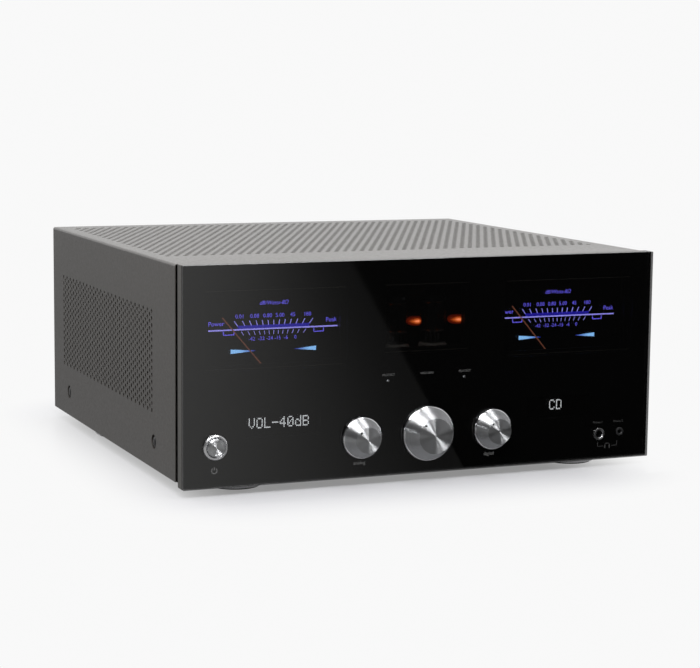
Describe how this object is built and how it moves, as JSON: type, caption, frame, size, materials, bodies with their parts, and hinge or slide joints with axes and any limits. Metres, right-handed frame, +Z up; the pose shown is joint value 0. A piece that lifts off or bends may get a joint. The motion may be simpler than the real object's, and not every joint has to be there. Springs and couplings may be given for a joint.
{
  "type": "integrated amplifier",
  "caption": "Integrated hi-fi amplifier in a perforated steel case with a black glass front, needle meters, a valve window, rotary knobs, headphone jacks and a rear socket panel.",
  "frame": {"origin": "on the surface that the feet stand on, in the middle of the width, half way between the front of the volume knob and the ends of the speaker posts", "axes": "+X to the right along the front panel as seen from the front, +Y from the front to the back, +Z up"},
  "size_m": [0.43, 0.453, 0.1881],
  "materials": {
    "tinted_glass": "clear black-tinted glass with a polished face",
    "frame_metal": "dark grey anodised, satin",
    "black_steel": "fine satin black",
    "cover_paint": "taupe grey powder coat, satin",
    "chrome": "polished",
    "spun_aluminium": "spun and clear lacquered",
    "rubber": "matte",
    "black_plastic": "moulded, fine texture",
    "black_screw": "black oxide, satin",
    "meter_dial": "printed film with a blue glowing scale",
    "meter_needle": "orange-red lacquer",
    "display": "dark display glass with white dots",
    "tube_glass": "clear blown glass",
    "ceramic": "unglazed cream",
    "amber_lamp": "amber lamps on a dark strip",
    "heat_sink": "black anodised",
    "transformer_winding": "lacquered film over copper and steel",
    "zinc_steel": "zinc plated",
    "circuit_board": "green solder mask",
    "capacitor_sleeve": "printed sleeve without wording",
    "plated_block": "nickel plated",
    "post_cap_black": "clear lacquer over black",
    "post_cap_red": "clear red"
  },
  "bodies": {
    "chassis": {"analog_selector_encoder": "black_plastic", "base_chassis": "black_steel", "cover_screw_left_front": "black_screw", "cover_screw_left_rear": "black_screw", "cover_screw_right_front": "black_screw", "cover_screw_right_rear": "black_screw", "digital_selector_encoder": "black_plastic", "digital_socket_block": "plated_block", "display_module_left": "display", "display_module_right": "display", "foot_front_left": "chrome", "foot_front_right": "chrome", "foot_pad_front_left": "rubber", "foot_pad_front_right": "rubber", "foot_pad_rear_left": "rubber", "foot_pad_rear_right": "rubber", "foot_rear_left": "chrome", "foot_rear_right": "chrome", "front_frame": "frame_metal", "front_glass": "tinted_glass", "front_subpanel": "black_steel", "headphone_jack_large": "chrome", "headphone_jack_small": "black_plastic", "heat_sink_left": "heat_sink", "heat_sink_right": "heat_sink", "main_board": "circuit_board", "mains_inlet": "black_plastic", "mains_switch_frame": "black_plastic", "meter_dial_left": "meter_dial", "meter_dial_right": "meter_dial", "meter_housing_left": "black_plastic", "meter_housing_right": "black_plastic", "power_bezel": "chrome", "power_switch": "black_plastic", "rca_socket_block": "black_plastic", "rear_panel": "black_steel", "reservoir_capacitor_left": "capacitor_sleeve", "reservoir_capacitor_right": "capacitor_sleeve", "speaker_terminal_plate": "black_plastic", "top_cover": "cover_paint", "toroidal_transformer": "transformer_winding", "transformer_clamp": "zinc_steel", "tube_lamp_strip": "amber_lamp", "tube_left": "tube_glass", "tube_right": "tube_glass", "tube_shelf": "black_steel", "tube_socket_left": "ceramic", "tube_socket_right": "ceramic", "volume_encoder": "black_plastic"},
    "volume_knob": {"volume_knob": "spun_aluminium"},
    "analog_selector": {"analog_selector_knob": "spun_aluminium"},
    "digital_selector": {"digital_selector_knob": "spun_aluminium"},
    "power_button": {"power_button": "spun_aluminium"},
    "left_needle": {"meter_needle_left": "meter_needle"},
    "right_needle": {"meter_needle_right": "meter_needle"},
    "mains_rocker": {"mains_rocker": "black_plastic"},
    "post_cap_1": {"speaker_post_cap_1": "post_cap_black"},
    "post_cap_2": {"speaker_post_cap_2": "post_cap_red"},
    "post_cap_3": {"speaker_post_cap_3": "post_cap_black"},
    "post_cap_4": {"speaker_post_cap_4": "post_cap_red"}
  },
  "joints": [
    {"name": "volume_turn", "type": "hinge", "parent": "chassis", "child": "volume_knob", "pos_m": [0, -0.2095, 0.0408], "axis": [0, 1, 0], "continuous": true},
    {"name": "analog_selector_turn", "type": "hinge", "parent": "chassis", "child": "analog_selector", "pos_m": [-0.0603, -0.2095, 0.0408], "axis": [0, 1, 0], "continuous": true},
    {"name": "digital_selector_turn", "type": "hinge", "parent": "chassis", "child": "digital_selector", "pos_m": [0.0603, -0.2095, 0.0408], "axis": [0, 1, 0], "continuous": true},
    {"name": "power_press", "type": "slide", "parent": "chassis", "child": "power_button", "axis": [0, 1, 0], "range_m": [0, 0.0025], "stiffness_N_per_m": 400, "springref_m": -0.001},
    {"name": "left_needle_swing", "type": "hinge", "parent": "chassis", "child": "left_needle", "pos_m": [-0.1313, -0.1921, 0.0908], "axis": [0, 1, 0], "range_deg": [0, 81.2], "stiffness_Nm_per_rad": 0.0004, "springref_deg": -20.05},
    {"name": "right_needle_swing", "type": "hinge", "parent": "chassis", "child": "right_needle", "pos_m": [0.1313, -0.1921, 0.0908], "axis": [0, 1, 0], "range_deg": [0, 81.2], "stiffness_Nm_per_rad": 0.0004, "springref_deg": -20.05},
    {"name": "mains_rocker_tip", "type": "hinge", "parent": "chassis", "child": "mains_rocker", "pos_m": [-0.17, 0.1952, 0.084], "axis": [1, 0, 0], "range_deg": [0, 20]},
    {"name": "post_cap_1_unscrew", "type": "slide", "parent": "chassis", "child": "post_cap_1", "axis": [0, 1, 0], "range_m": [0, 0.004]},
    {"name": "post_cap_2_unscrew", "type": "slide", "parent": "chassis", "child": "post_cap_2", "axis": [0, 1, 0], "range_m": [0, 0.004]},
    {"name": "post_cap_3_unscrew", "type": "slide", "parent": "chassis", "child": "post_cap_3", "axis": [0, 1, 0], "range_m": [0, 0.004]},
    {"name": "post_cap_4_unscrew", "type": "slide", "parent": "chassis", "child": "post_cap_4", "axis": [0, 1, 0], "range_m": [0, 0.004]}
  ]
}
